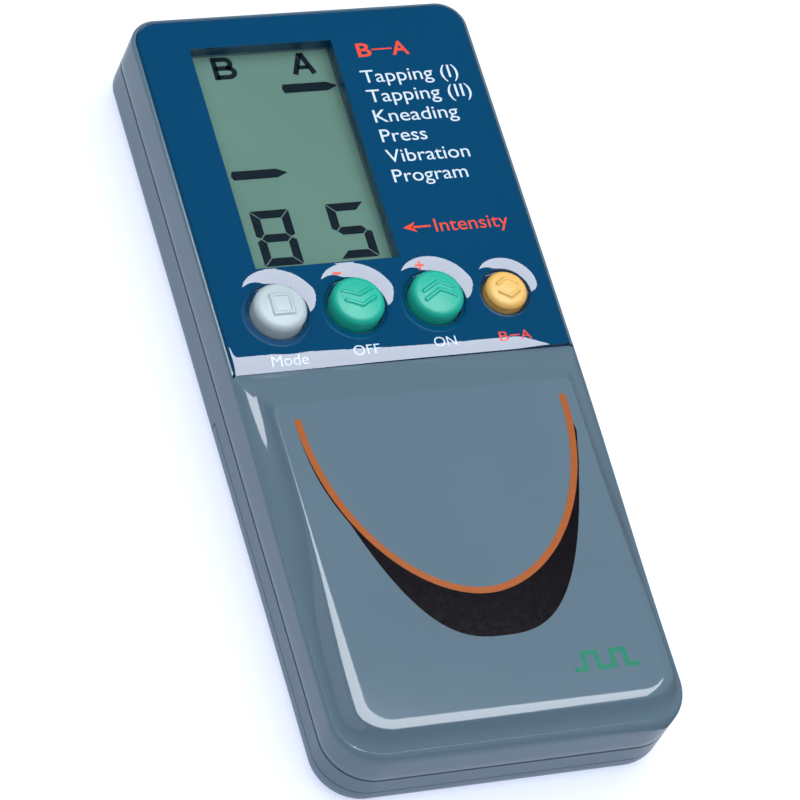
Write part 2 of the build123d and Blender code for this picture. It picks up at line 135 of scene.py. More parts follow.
class PlateSettings(bpy.types.PropertyGroup):
    """Sizes and colour of the gloss face plate."""

    roll: length_prop("Foot roll", "Width of the rolled foot edge", 0.0033)
    roll_radius: length_prop("Foot roll radius", "Radius of the rolled foot edge", 0.0075)
    rim_radius: length_prop("Rim radius", "Edge radius of the other three sides", 0.0011)
    dish_radius: length_prop("Dish radius", "Radius of the rounding down to a key", 0.0073)
    blue: colour_prop("Plate blue", "Colour of the face plate", (0.0, 0.055, 0.145))


class KeySettings(bpy.types.PropertyGroup):
    """Shape and colours of the four keys."""

    edge: length_prop("Key edge", "Radius round a key's top", 0.0013)
    crown: length_prop("Key crown", "Rise of a key's top at its middle", 0.0004)
    relief: length_prop("Relief", "Height of the raised mark on a key", 0.0003)
    white: colour_prop("White key", "Colour of the mode key", (0.44, 0.54, 0.60))
    green: colour_prop("Green keys", "Colour of the off and on keys", (0.006, 0.44, 0.33))
    yellow: colour_prop("Yellow key", "Colour of the channel key", (0.80, 0.50, 0.14))


class PrintSettings(bpy.types.PropertyGroup):
    """Inks and the display's colours."""

    film: length_prop("Ink film", "Thickness of printed ink", 0.00002)
    white_ink: colour_prop("White ink", "Colour of the function names", (0.60, 0.72, 0.84))
    red_ink: colour_prop("Red ink", "Colour of the red function names", (0.80, 0.07, 0.03))
    orange_ink: colour_prop("Orange ink", "Colour of the curved band", (0.36, 0.098, 0.022))
    black_ink: colour_prop("Black ink", "Colour of the crescent", (0.004, 0.003, 0.005))
    green_ink: colour_prop("Green ink", "Colour of the pulse mark", (0.0, 0.19, 0.115))
    display: colour_prop("Display", "Colour of the display behind its marks", (0.145, 0.27, 0.235))
    segment: colour_prop("Segments", "Colour of a lit display mark", (0.004, 0.012, 0.022))


class StudioSettings(bpy.types.PropertyGroup):
    """Lights, floor and camera."""

    sheen: bpy.props.FloatProperty(
        name="Overhead sheen", description="Brightness of the softbox seen in gloss", default=9.0
    )
    fill: bpy.props.FloatProperty(
        name="Sky", description="Power of the wide soft light overhead", default=62.0
    )
    key: bpy.props.FloatProperty(
        name="Key light", description="Power of the light that shapes the object", default=2.0
    )
    floor: colour_prop("Floor", "Colour of the floor", (0.5, 0.5, 0.5))
    lens: bpy.props.FloatProperty(
        name="Lens", description="Focal length of the camera", default=216.8, subtype="DISTANCE_CAMERA"
    )


class StimulatorSettings(bpy.types.PropertyGroup):
    """Everything a user would change."""

    housing: bpy.props.PointerProperty(type=HousingSettings, name="Housing", description="Grey mouldings")
    plate: bpy.props.PointerProperty(type=PlateSettings, name="Plate", description="Face plate")
    keys: bpy.props.PointerProperty(type=KeySettings, name="Keys", description="The four keys")
    prints: bpy.props.PointerProperty(type=PrintSettings, name="Prints", description="Inks and display")
    studio: bpy.props.PointerProperty(type=StudioSettings, name="Studio", description="Lights and camera")


def settings(context):
    return context.scene.stimulator


# ------------------------------------------------------------- shader graphs
class Wire:
    """An output of a node, used in sums like an ordinary number."""

    def __init__(self, graph, socket):
        self.graph = graph
        self.socket = socket

    def _math(self, operation, *terms):
        return self.graph.node("ShaderNodeMath", {"operation": operation}, list(terms))

    def __add__(self, other):
        return self._math("ADD", self, other)

    __radd__ = __add__

    def __mul__(self, other):
        return self._math("MULTIPLY", self, other)

    __rmul__ = __mul__

    def __gt__(self, other):
        return self._math("GREATER_THAN", self, other)

    def __lt__(self, other):
        return self._math("LESS_THAN", self, other)

    def __mod__(self, other):
        return self._math("FLOORED_MODULO", self, other)

    def part(self, axis):
        return self.graph.node("ShaderNodeSeparateXYZ", {}, [self], out=axis)


class Graph:
    """A material's node graph that ends in one surface shader."""

    def __init__(self, name):
        self.material = bpy.data.materials.new(name)
        self.material.use_nodes = True
        self.tree = self.material.node_tree
        self.tree.nodes.clear()

    def node(self, kind, options=None, sockets=(), out=0):
        """Adds one node: its options first, then the values or links of its sockets."""
        made = self.tree.nodes.new(kind)
        for key, value in (options or {}).items():
            if key == "stops":
                ramp = made.color_ramp
                while len(ramp.elements) < len(value):
                    ramp.elements.new(0.5)
                for stop, (place, colour) in zip(ramp.elements, value):
                    stop.position = place
                    stop.color = (*colour, 1.0)
            else:
                setattr(made, key, value)
        pairs = sockets.items() if isinstance(sockets, dict) else enumerate(sockets)
        for key, value in pairs:
            if isinstance(value, Wire):
                self.tree.links.new(value.socket, made.inputs[key])
            else:
                made.inputs[key].default_value = value
        return Wire(self, made.outputs[out]) if made.outputs else None

    def place(self):
        return self.node("ShaderNodeTexCoord", out="Object")

    def noise(self, scale, detail=3.0, place=None):
        sockets = {"Vector": place or self.place(), "Scale": scale, "Detail": detail}
        return self.node("ShaderNodeTexNoise", {}, sockets)

    def shade(self, mask, one, other):
        """One colour turning into another where the mask rises from 0 to 1."""
        ends = [c if isinstance(c, Wire) else (*c, 1.0) for c in (one, other)]
        return self.node("ShaderNodeMix", {"data_type": "RGBA"}, {0: mask, 6: ends[0], 7: ends[1]}, out=2)

    def bump(self, height, depth, strength=1.0):
        return self.node(
            "ShaderNodeBump", {}, {"Height": height, "Distance": depth, "Strength": strength}
        )

    def surface(self, colour, roughness, normal=None, **fixed):
        """Principled shader: varying colour, roughness and normal, and fixed values for the rest."""
        sockets = {"Base Color": colour if isinstance(colour, Wire) else (*colour, 1.0)}
        sockets["Roughness"] = roughness
        if normal is not None:
            sockets["Normal"] = normal
        for key, value in fixed.items():
            sockets[key.replace("_", " ")] = value
        return self.node("ShaderNodeBsdfPrincipled", {}, sockets)

    def end(self, shader):
        self.node("ShaderNodeOutputMaterial", {}, [shader])
        return self.material


def tinted(colour, share):
    return tuple(min(1.0, c * share) for c in colour)


def finish(name, look):
    """The material of that name, made once."""
    full = name + "_finish"
    return bpy.data.materials.get(full) or FINISHES[name](full, look)


def gloss_moulding(name, colour, roughness=0.05, coat=0.1):
    """Polished injection-moulded plastic: faint flow marks, spark texture and handling smudges."""
    g = Graph(name)
    flow = g.noise(38.0, 4.0)
    grain = g.noise(5200.0, 2.0)
    smudge = g.noise(120.0, 5.0)
    base = g.shade(flow, tinted(colour, 0.93), tinted(colour, 1.07))
    rough = roughness + smudge * 0.012 + grain * 0.01
    skin = g.bump(grain * 0.6 + flow * 0.4, 0.0000022)
    return g.end(
        g.surface(base, rough, skin, IOR=1.5, Coat_Weight=coat, Coat_Roughness=0.05)
    )


def plate_blue(name, look):
    """Back-painted gloss: deep blue under a clear hard skin."""
    g = Graph(name)
    cloud = g.noise(26.0, 3.0)
    dust = g.noise(3400.0, 2.0)
    base = g.shade(cloud, tinted(look.plate.blue, 0.92), tinted(look.plate.blue, 1.08))
    rough = 0.03 + dust * 0.02
    return g.end(
        g.surface(base, rough, g.bump(cloud, 0.000001), IOR=1.5, Coat_Weight=0.6, Coat_Roughness=0.02)
    )


def key_plastic(name, colour):
    """Satin key moulding with a faint cloud in its tone and a fine grain."""
    g = Graph(name)
    grain = g.noise(2600.0, 3.0)
    cloud = g.noise(160.0, 3.0)
    base = g.shade(cloud, tinted(colour, 0.95), tinted(colour, 1.05))
    return g.end(
        g.surface(
            base,
            0.4 + grain * 0.08,
            g.bump(grain, 0.000006),
            IOR=1.38,
            Subsurface_Weight=0.12,
            Subsurface_Scale=0.0006,
        )
    )


def display_glass(name, look):
    """Reflective display: a faint vertical rubbing grain under the polariser."""
    g = Graph(name)
    place = g.place()
    cloud = g.noise(55.0, 2.0, place)
    stripe = g.node(
        "ShaderNodeTexWave",
        {"wave_type": "BANDS", "bands_direction": "X"},
        {"Vector": place, "Scale": 900.0, "Distortion": 1.5, "Detail": 1.0},
    )
    tone = cloud * 0.85 + stripe * 0.15
    base = g.shade(tone, tinted(look.prints.display, 0.92), tinted(look.prints.display, 1.08))
    return g.end(g.surface(base, 0.12 + cloud * 0.06, g.bump(stripe, 0.000001), IOR=1.25))


def display_segment(name, look):
    """Liquid-crystal mark: near black with a faint cloud."""
    g = Graph(name)
    cloud = g.noise(700.0, 2.0)
    ink = look.prints.segment
    base = g.shade(cloud, tinted(ink, 0.8), tinted(ink, 1.3))
    return g.end(g.surface(base, 0.2 + cloud * 0.05, IOR=1.2))


def clear_pane(name, look):
    """Thin clear acrylic: seen through, with a gloss that grows at a slant."""
    g = Graph(name)
    dust = g.noise(900.0, 4.0)
    slant = g.node("ShaderNodeFresnel", {}, {"IOR": 1.38})
    clear = g.node("ShaderNodeBsdfTransparent", {}, [(0.985, 0.995, 0.99, 1.0)])
    gloss = g.surface((0.02, 0.025, 0.025), 0.03 + dust * 0.02, IOR=1.5)
    return g.end(g.node("ShaderNodeMixShader", {}, [slant * 0.5, clear, gloss]))


def ink_film(name, colour, roughness=0.16):
    """Screen-printed ink with a faint mesh and uneven lay-down."""
    g = Graph(name)
    lay = g.noise(1500.0, 4.0)
    base = g.shade(lay, tinted(colour, 0.9), tinted(colour, 1.1))
    return g.end(g.surface(base, roughness + lay * 0.08, g.bump(lay, 0.000003), IOR=1.3))


def tan_rubber(name, look):
    """Connector strip: carbon layers between insulating ones."""
    g = Graph(name)
    place = g.place()
    layer = (place.part(1) * 8000.0) % 1.0 > 0.5
    speck = g.noise(2000.0, 3.0, place)
    base = g.shade(layer, (0.35, 0.33, 0.30), (0.02, 0.02, 0.02))
    return g.end(g.surface(base, 0.6 + speck * 0.15, g.bump(speck, 0.000006)))


def board_green(name, look):
    """Solder mask over copper: traces, pads and glass weave."""
    g = Graph(name)
    place = g.place()
    cell = g.node(
        "ShaderNodeTexVoronoi",
        {"feature": "DISTANCE_TO_EDGE", "distance": "MANHATTAN"},
        {"Vector": place, "Scale": 260.0, "Randomness": 0.75},
    )
    weave = g.noise(2400.0, 2.0, place)
    trace = cell < 0.045
    pad = g.node("ShaderNodeTexVoronoi", {"feature": "F1"}, {"Vector": place, "Scale": 330.0}) < 0.13
    mask = g.shade(trace, (0.006, 0.075, 0.022), (0.016, 0.16, 0.05))
    base = g.shade(pad, mask, (0.62, 0.60, 0.55))
    shine = g.surface(base, 0.32 + weave * 0.12, g.bump(trace * 0.7 + weave * 0.3, 0.00003))
    return g.end(shine)


def metal(name, colour, roughness, along=1400.0):
    """Drawn or plated metal with fine draw lines."""
    g = Graph(name)
    place = g.place()
    pulled = g.node("ShaderNodeVectorMath", {"operation": "MULTIPLY"}, [place, (1.0, 0.06, 1.0)])
    line = g.noise(along, 4.0, pulled)
    tarnish = g.noise(90.0, 4.0, place)
    base = g.shade(tarnish, tinted(colour, 0.82), tinted(colour, 1.05))
    return g.end(
        g.surface(base, roughness + line * 0.12 + tarnish * 0.06, g.bump(line, 0.000004), Metallic=1.0)
    )


def copper_winding(name, look):
    """Enamelled wire laid turn by turn, with painted shade in the creases between turns and painted light on
    their crowns.
    """
    g = Graph(name)
    place = g.place()
    turn = g.node(
        "ShaderNodeTexWave",
        {"wave_type": "BANDS", "bands_direction": "Z", "wave_profile": "SIN"},
        {"Vector": place, "Scale": 1500.0, "Distortion": 0.6},
    )
    patch = g.noise(300.0, 3.0, place)
    # Painted shade and light: the turn bands colour each crease between turns dark and each crown bright,
    # and patch adds a random tone. The same bands also give the turns their real bump.
    base = g.shade(turn * 0.7 + patch * 0.3, (0.28, 0.08, 0.03), (0.72, 0.29, 0.12))
    return g.end(g.surface(base, 0.3 + patch * 0.1, g.bump(turn, 0.00004), Metallic=0.8))


def can_sleeve(name, look):
    """Printed sleeve of a small capacitor: dark blue with a pale minus stripe."""
    g = Graph(name)
    place = g.place()
    stripe = g.noise(240.0, 1.0, place) > 0.56
    grain = g.noise(1800.0, 3.0, place)
    base = g.shade(stripe, (0.01, 0.03, 0.16), (0.30, 0.36, 0.46))
    return g.end(g.surface(base, 0.3 + grain * 0.1, g.bump(grain, 0.000004)))


def cell_jacket(name, look):
    """Battery jacket: a dark barrel with a copper-toned band at one end."""
    g = Graph(name)
    place = g.place()
    band = (place.part(1) * -1.0) > 0.048
    wear = g.noise(420.0, 4.0, place)
    base = g.shade(band, (0.022, 0.024, 0.028), (0.55, 0.27, 0.09))
    worn = g.shade(wear * 0.25, base, (0.2, 0.2, 0.2))
    return g.end(g.surface(worn, 0.24 + wear * 0.12, g.bump(wear, 0.000004), Metallic=0.35))


def insulation(name, colour):
    g = Graph(name)
    speck = g.noise(1600.0, 3.0)
    base = g.shade(speck, tinted(colour, 0.85), tinted(colour, 1.12))
    return g.end(g.surface(base, 0.42 + speck * 0.1, g.bump(speck, 0.000006)))


FINISHES = {
    "housing_grey": lambda name, look: gloss_moulding(name, look.housing.grey),
    "housing_back_grey": lambda name, look: gloss_moulding(name, tinted(look.housing.grey, 0.97), 0.13),
    "door_grey": lambda name, look: gloss_moulding(name, tinted(look.housing.grey, 0.98), 0.12),
    "key_white": lambda name, look: key_plastic(name, look.keys.white),
    "key_green": lambda name, look: key_plastic(name, look.keys.green),
    "key_yellow": lambda name, look: key_plastic(name, look.keys.yellow),
    "ink_white": lambda name, look: ink_film(name, look.prints.white_ink),
    "ink_red": lambda name, look: ink_film(name, look.prints.red_ink),
    "ink_orange": lambda name, look: ink_film(name, look.prints.orange_ink, 0.12),
    "ink_black": lambda name, look: ink_film(name, look.prints.black_ink, 0.07),
    "ink_green": lambda name, look: ink_film(name, look.prints.green_ink),
    "black_plastic": lambda name, look: gloss_moulding(name, (0.012, 0.012, 0.014), 0.34, 0.0),
    "bright_steel": lambda name, look: metal(name, (0.62, 0.62, 0.60), 0.24),
    "nickel_plate": lambda name, look: metal(name, (0.72, 0.69, 0.62), 0.14),
    "wire_red": lambda name, look: insulation(name, (0.55, 0.02, 0.015)),
    "wire_black": lambda name, look: insulation(name, (0.014, 0.014, 0.015)),
    "plate_blue": plate_blue,
    "display_glass": display_glass,
    "display_segment": display_segment,
    "clear_pane": clear_pane,
    "tan_rubber": tan_rubber,
    "board_green": board_green,
    "copper_winding": copper_winding,
    "can_sleeve": can_sleeve,
    "cell_jacket": cell_jacket,
}

NODE_FINISH = {
    "back_shell": "housing_back_grey",
    "battery_door": "door_grey",
    "lcd_window": "clear_pane",
    "mode_plunger": "key_white",
    "off_plunger": "key_green",
    "on_plunger": "key_green",
    "swap_plunger": "key_yellow",
    "tact_switches": "black_plastic",
    "lcd_panel": "display_glass",
    "lcd_holder": "black_plastic",
    "zebra_strips": "tan_rubber",
    "main_pcb": "board_green",
    "pcb_screws": "bright_steel",
    "controller_chip": "black_plastic",
    "output_transformers": "copper_winding",
    "capacitors": "can_sleeve",
    "transistors": "black_plastic",
    "crystal": "nickel_plate",
    "buzzer": "black_plastic",
    "output_jack_a": "black_plastic",
    "output_jack_b": "black_plastic",
    "battery_cell_1": "cell_jacket",
    "battery_cell_2": "cell_jacket",
    "battery_cell_3": "cell_jacket",
    "battery_cell_4": "cell_jacket",
    "battery_contacts": "nickel_plate",
    "battery_springs": "nickel_plate",
    "battery_lead_plus": "wire_red",
    "battery_lead_minus": "wire_black",
    "case_screws": "bright_steel",
}


# -------------------------------------------------------------- mesh helpers
class Shape:
    """Points in millimetres and the faces between them."""

    def __init__(self):
        self.points = []
        self.faces = []

    def add(self, points):
        first = len(self.points)
        self.points.extend([tuple(float(c) for c in p) for p in points])
        return list(range(first, len(self.points)))

    def skin(self, rings, closed=True):
        """Quads between neighbouring rings of equal length; returns the rings' indices."""
        rows = [self.add(ring) for ring in rings]
        count = len(rows[0])
        last = count if closed else count - 1
        for one, two in zip(rows, rows[1:]):
            for k in range(last):
                j = (k + 1) % count
                self.faces.append((one[k], one[j], two[j], two[k]))
        return rows

    def lid(self, row, middle, turned=False):
        """A fan that closes a ring round its middle point."""
        centre = self.add([middle])[0]
        for k in range(len(row)):
            tri = (row[k], row[(k + 1) % len(row)], centre)
            self.faces.append(tri[::-1] if turned else tri)

    def slab(self, outline, low, high):
        """A straight-sided solid on a simple outline given anticlockwise."""
        base = self.add([(x, y, low) for x, y in outline])
        top = self.add([(x, y, high) for x, y in outline])
        for k in range(len(base)):
            j = (k + 1) % len(base)
            self.faces.append((base[k], base[j], top[j], top[k]))
        self.faces.append(tuple(top))
        self.faces.append(tuple(reversed(base)))

    def made_object(self, name, material):
        """Puts the shape in the scene, in metres and with its material."""
        mesh = bpy.data.meshes.new(name)
        mesh.from_pydata([tuple(c * TO_METRES for c in p) for p in self.points], [], self.faces)
        mesh.materials.append(material)
        made = bpy.data.objects.new(name, mesh)
        bpy.context.scene.collection.objects.link(made)
        return made

    def piece(self, name, body, finish_name, look, slot=None, crease=30.0):
        """Turns the shape into an object that rides on a body."""
        made = self.made_object(name, finish(finish_name, look))
        mesh = made.data
        mesh.validate()
        mesh.polygons.foreach_set("use_smooth", [True] * len(mesh.polygons))
        mesh.set_sharp_from_angle(angle=math.radians(crease))
        mesh.update()
        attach(made, body)
        return made


def rounded_plan(half, low, high, low_radius, high_radius, sides, across=48, corner=16):
    """Points and outward directions round a plan shape, anticlockwise from the foot's left corner.

    sides gives the shares along the straight right side, from foot to head."""
    places, ways = [], []

    def straight(start, end, shares, way):
        for s in shares:
            places.append([start[0] + (end[0] - start[0]) * s, start[1] + (end[1] - start[1]) * s])
            ways.append(way)

    def turn(cx, cy, radius, start):
        for k in range(corner):
            a = math.radians(start + 90.0 * (k + 0.5) / corner)
            places.append([cx + radius * math.cos(a), cy + radius * math.sin(a)])
            ways.append((math.cos(a), math.sin(a)))

    even = np.linspace(0, 1, across)
    straight((-half + low_radius, low), (half - low_radius, low), even, (0, -1))
    turn(half - low_radius, low + low_radius, low_radius, -90)
    straight((half, low + low_radius), (half, high - high_radius), sides, (1, 0))
    turn(half - high_radius, high - high_radius, high_radius, 0)
    straight((half - high_radius, high), (-half + high_radius, high), even, (0, 1))
    turn(-half + high_radius, high - high_radius, high_radius, 90)
    straight((-half, high - high_radius), (-half, low + low_radius), 1.0 - np.array(sides)[::-1], (-1, 0))
    turn(-half + low_radius, low + low_radius, low_radius, 180)
    return np.array(places), np.array(ways, float)


def lifted(plan, height):
    """Plan points at a height that may vary from point to point."""
    return np.column_stack([plan, np.broadcast_to(height, len(plan))])


def eased(value, start, end):
    t = np.clip((value - start) / (end - start), 0, 1)
    return t * t * (3 - 2 * t)


def circle(cx, cy, radius, count):
    a = np.linspace(0, 2 * math.pi, count, endpoint=False)
    return np.column_stack([cx + radius * np.cos(a), cy + radius * np.sin(a)])


def rolled(distance, width, radius):
    """How far a rolled edge has dropped at a distance in from it."""
    t = np.clip(width - distance, 0, None)
    return radius - np.sqrt(np.maximum(radius * radius - t * t, 0.0001))


# -------------------------------------------------------------------- pieces
SHOULDER_HEIGHT = 16.1
FOOT_RADIUS, HEAD_RADIUS = 8.1, 4.9
LEDGE_HEIGHT = 14.3
DECK_LOW, DECK_HIGH = 12.6, 14.2
JUNCTION = 0.55
SHOULDER_REACH = 0.56  # share of the shoulder's radius at which it leans 26 degrees
CREST_FOOT, CREST_HEAD = -64.6, -7.2
PLATE_CORNER, PLATE_FOOT_CORNER = 4.2, 0.5
WALL_LIP = 12.4


class Key:
    """One key's place and outline on the face."""

    def __init__(self, name, slot, dish, well):
        low, high = lower(name + "_button"), upper(name + "_button")
        self.name = name
        self.slot = slot
        self.x = (low[0] + high[0]) / 2
        self.y = (low[1] + high[1]) / 2
        self.flange = (high[0] - low[0]) / 2
        self.radius = self.flange - 0.8
        self.low = low[2]
        self.top = high[2]
        self.dish = self.radius + dish
        self.well = self.radius + well

    def away(self, x, y):
        return np.hypot(x - self.x, y - self.y)


KEYS = (
    Key("mode", "key_white", 3.8, 0.75),
    Key("off", "key_green", 3.8, 0.75),
    Key("on", "key_green", 3.8, 0.75),
    Key("swap", "key_yellow", 3.25, 0.7),
)


def side_shares():
    """Shares along the long sides, closer together where the face plate ends."""
    low, high = -HALF_LENGTH + FOOT_RADIUS, HALF_LENGTH - HEAD_RADIUS
    stops = np.concatenate([np.linspace(low, 0.45, 70), np.linspace(0.75, high, 70)])
    return (stops - low) / (high - low)


def shoulder(plan, way, housing):
    """Radius, height and reach of the rounded edge at the top of the wall.

    The reach stops where the edge leans 26 degrees and the plateau's side takes over."""
    near, far = housing.shoulder_near * TO_MM, housing.shoulder_far * TO_MM
    y, side = plan[:, 1], way[:, 0] ** 2
    along = np.clip(-y / 60.0, 0, 1)
    radius = near + (far * (1 - 0.5 * side) - near) * along
    height = SHOULDER_HEIGHT - housing.shoulder_fall * TO_MM * side * eased(-y, 2.0, 52.0)
    return radius, height, SHOULDER_REACH * radius


def shoulder_drop(inset, radius):
    t = np.clip(radius - inset, 0, None)
    return radius - np.sqrt(np.maximum(radius * radius - t * t, 0.0))


def build_wall(shape, housing):
    """The side wall with its rounded shoulder, all the way round."""
    plan, way = rounded_plan(
        HALF_WIDTH, -HALF_LENGTH, HALF_LENGTH, FOOT_RADIUS, HEAD_RADIUS, side_shares()
    )
    radius, height, reach = shoulder(plan, way, housing)
    beside_plate = plan[:, 1] > 0.6
    reach = np.where(beside_plate, 0.62, reach)
    wall = housing.wall * TO_MM
    seam = SEAM_HEIGHT_FRONT

    def ring(inset, height):
        return lifted(plan - way * np.broadcast_to(inset, len(plan))[:, None], height)

    rings = [ring(wall, WALL_LIP), ring(wall, seam), ring(0.22, seam)]
    rings += [ring(0.06, seam + 0.06), ring(0, seam + 0.22)]
    rings += [ring(0, h) for h in (10.5, 12.5)]
    steps = 10
    for k in range(steps + 1):
        angle = math.radians(90.0 * k / steps)
        inset = np.minimum(radius * (1 - math.cos(angle)), reach)
        rings.append(ring(inset, height - shoulder_drop(inset, radius)))
    at_foot = height - shoulder_drop(reach, radius)
    rings.append(ring(reach, at_foot))
    rings.append(ring(reach + 0.04, np.where(beside_plate, LEDGE_HEIGHT, at_foot - 0.5)))
    rings.append(ring(np.maximum(wall, reach + 0.3), LEDGE_HEIGHT - 0.1))
    rings.append(ring(wall + 0.4, WALL_LIP))
    rows = shape.skin(rings)
    for k in range(len(rows[0])):
        j = (k + 1) % len(rows[0])
        shape.faces.append((rows[-1][k], rows[-1][j], rows[0][j], rows[0][k]))


def build_plateau(shape, housing):
    """The raised lower half: cove, ramp and crest as one skin, closed underneath."""
    shares = np.linspace(0, 1, 90)
    head = JUNCTION + SHOULDER_REACH * housing.shoulder_near * TO_MM
    plan, way = rounded_plan(HALF_WIDTH, -HALF_LENGTH, head, FOOT_RADIUS, 1.5, shares)
    radius, height, inset = shoulder(plan, way, housing)
    base = plan - way * inset[:, None]
    half = housing.crest_half * TO_MM
    crest, crest_way = rounded_plan(half, CREST_FOOT, CREST_HEAD, 4.6, 1.3, shares)
    base_height = height - shoulder_drop(inset, radius)
    ramp = np.clip(way[:, 1], 0, 1) ** 2
    base_height = base_height - 0.35 * ramp
    side = np.abs(way[:, 0]) ** 2
    far_side = np.clip(way[:, 0], 0, 1) ** 2
    foot = np.clip(-way[:, 1], 0, 1) ** 2
    along = eased(-plan[:, 1], 4.0, 62.0)
    side_radius = 0.45 + (housing.crest_side_radius * TO_MM - 0.45) * along
    round_off = side * side_radius + foot * housing.crest_foot_radius * TO_MM + ramp * 2.6
    low_angle = np.radians(side * 25.5 + foot * 28.0 + 12.0 * side * foot + ramp * 23.0)
    side_lean = side * (44.0 + 20.0 * along) - far_side * (8.0 + 12.0 * along)
    high_angle = np.radians(side_lean + foot * 58.0 + ramp * 24.0)
    draw_in = side * 0.14 + foot * 0.34 + ramp * 0.21
    crest = crest - crest_way * (draw_in * round_off)[:, None]
    run = crest - base
    width = np.hypot(run[:, 0], run[:, 1])
    rise = PLATEAU_HEIGHT - base_height
    knee = np.minimum(high_angle, math.radians(26.0))
    tight = 0.2 * round_off

    def crown(angle):
        """How far in and how far down from the crest the rounding has come at a lean."""
        wide, sharp = np.minimum(angle, knee), np.maximum(angle, knee)
        across = round_off * np.sin(wide) + tight * (np.sin(sharp) - np.sin(knee))
        down = round_off * (1 - np.cos(wide)) + tight * (np.cos(knee) - np.cos(sharp))
        return across, down

    arc_across, arc_down = crown(high_angle)
    end_x = width - arc_across
    end_z = rise - arc_down
    handle = 0.42 * np.hypot(end_x, end_z)
    rings = [lifted(base, base_height - 1.2), lifted(base, base_height - 0.02)]
    for t in np.linspace(0, 1, 15)[1:]:
        b0, b1, b2, b3 = (1 - t) ** 3, 3 * t * (1 - t) ** 2, 3 * t * t * (1 - t), t**3
        x = b1 * handle * np.cos(low_angle) + b2 * (end_x - handle * np.cos(high_angle)) + b3 * end_x
        z = b1 * handle * np.sin(low_angle) + b2 * (end_z - handle * np.sin(high_angle)) + b3 * end_z
        rings.append(lifted(base + run * (x / width)[:, None], base_height + z))
    for k in range(1, 19):
        across, down = crown(high_angle * (1 - k / 18.0))
        x, z = width - across, rise - down
        rings.append(lifted(base + run * (x / width)[:, None], base_height + z))
    rings.append(lifted(crest - crest_way * 0.25, PLATEAU_HEIGHT))
    rows = shape.skin(rings)
    shape.faces.append(tuple(rows[-1]))
    under = [rings[0]]
    inner = base + run * 0.35
    under.append(lifted(base + run * 0.08, base_height - 1.3))
    under.append(lifted(inner, np.maximum(base_height - 0.6, 15.0)))
    under.append(lifted(crest, PLATEAU_HEIGHT - 1.8))
    low_rows = shape.skin([r[::-1] for r in under])
    shape.faces.append(tuple(low_rows[-1]))


def pane_outline(margin):
    """The display opening's corners, anticlockwise, with a margin round the pane."""
    x0, y0 = PANE_LOW[0] - margin, PANE_LOW[1] - margin
    x1, y1 = PANE_HIGH[0] + margin, PANE_HIGH[1] + margin
    return np.array([(x0, y0), (x1, y0), (x1, y1), (x0, y1)])


def build_deck(shape):
    """The ledge under the face plate, open at the display and round each key."""
    clear, shares = 1.9, np.linspace(0, 1, 12)
    outer, _ = rounded_plan(
        HALF_WIDTH - clear, JUNCTION - 1.5, HALF_LENGTH - clear, 0.5, 3.0, shares, 12, 8
    )
    holes = [pane_outline(0.05)] + [circle(k.x, k.y, k.radius + 0.45, 48) for k in KEYS]
    pierced(shape, outer, holes, lambda x, y: np.full(np.shape(x), DECK_HIGH), DECK_LOW)


def pierced(shape, outer, holes, top_height, floor_height, inner_points=()):
    """A sheet with holes: its top follows a height, its underside is flat."""
    loops = [np.array(outer)] + [np.array(h) for h in holes]
    points, edges = [], []
    for loop in loops:
        first = len(points)
        points += [tuple(p) for p in loop]
        edges += [(first + k, first + (k + 1) % len(loop)) for k in range(len(loop))]
    rim_count = len(points)
    top_points = points + [tuple(p) for p in inner_points]
    for flat, count in ((top_points, None), (points, rim_count)):
        out = delaunay_2d_cdt([tuple(map(float, p)) for p in flat], edges, [], 0, 1e-6)
        xy = np.array([tuple(v) for v in out[0]])
        tris = [f for f in out[2]]
        mid = np.array([xy[list(t)].mean(0) for t in tris])
        keep = inside(mid, loops[0])
        for hole in loops[1:]:
            keep &= ~inside(mid, hole)
        if count is None:
            z = top_height(xy[:, 0], xy[:, 1])
        else:
            z = np.full(len(xy), floor_height)
        index = shape.add(np.column_stack([xy, z]))
        for t, kept in zip(tris, keep):
            if not kept:
                continue
            a, b, c = (xy[i] for i in t)
            up = (b[0] - a[0]) * (c[1] - a[1]) - (b[1] - a[1]) * (c[0] - a[0]) > 0
            order = t if up == (count is None) else t[::-1]
            shape.faces.append(tuple(index[i] for i in order))
    for number, loop in enumerate(loops):
        z = top_height(loop[:, 0], loop[:, 1])
        top = lifted(loop, z)
        low = lifted(loop, floor_height)
        rings = [low, top] if number == 0 else [top, low]
        shape.skin(rings)


def inside(points, loop):
    """Which points lie inside a closed loop."""
    x, y = points[:, 0], points[:, 1]
    held = np.zeros(len(points), bool)
    for (x0, y0), (x1, y1) in zip(loop, np.roll(loop, -1, axis=0)):
        crosses = (y0 > y) != (y1 > y)
        if y1 != y0:
            held ^= crosses & (x < (x1 - x0) * (y - y0) / (y1 - y0) + x0)
    return held


def rim_distance(x, y, half, head, radius):
    """Distance in from the plate's two sides and its head, with round head corners."""
    x, y = np.abs(x), np.asarray(y, float)
    dx, dy = x - (half - radius), y - (head - radius)
    corner = (dx > 0) & (dy > 0)
    return np.where(corner, radius - np.hypot(dx, dy), np.minimum(half - x, head - y))


WELL_FLOOR = 15.3
PLATE_UNDERSIDE = 14.3


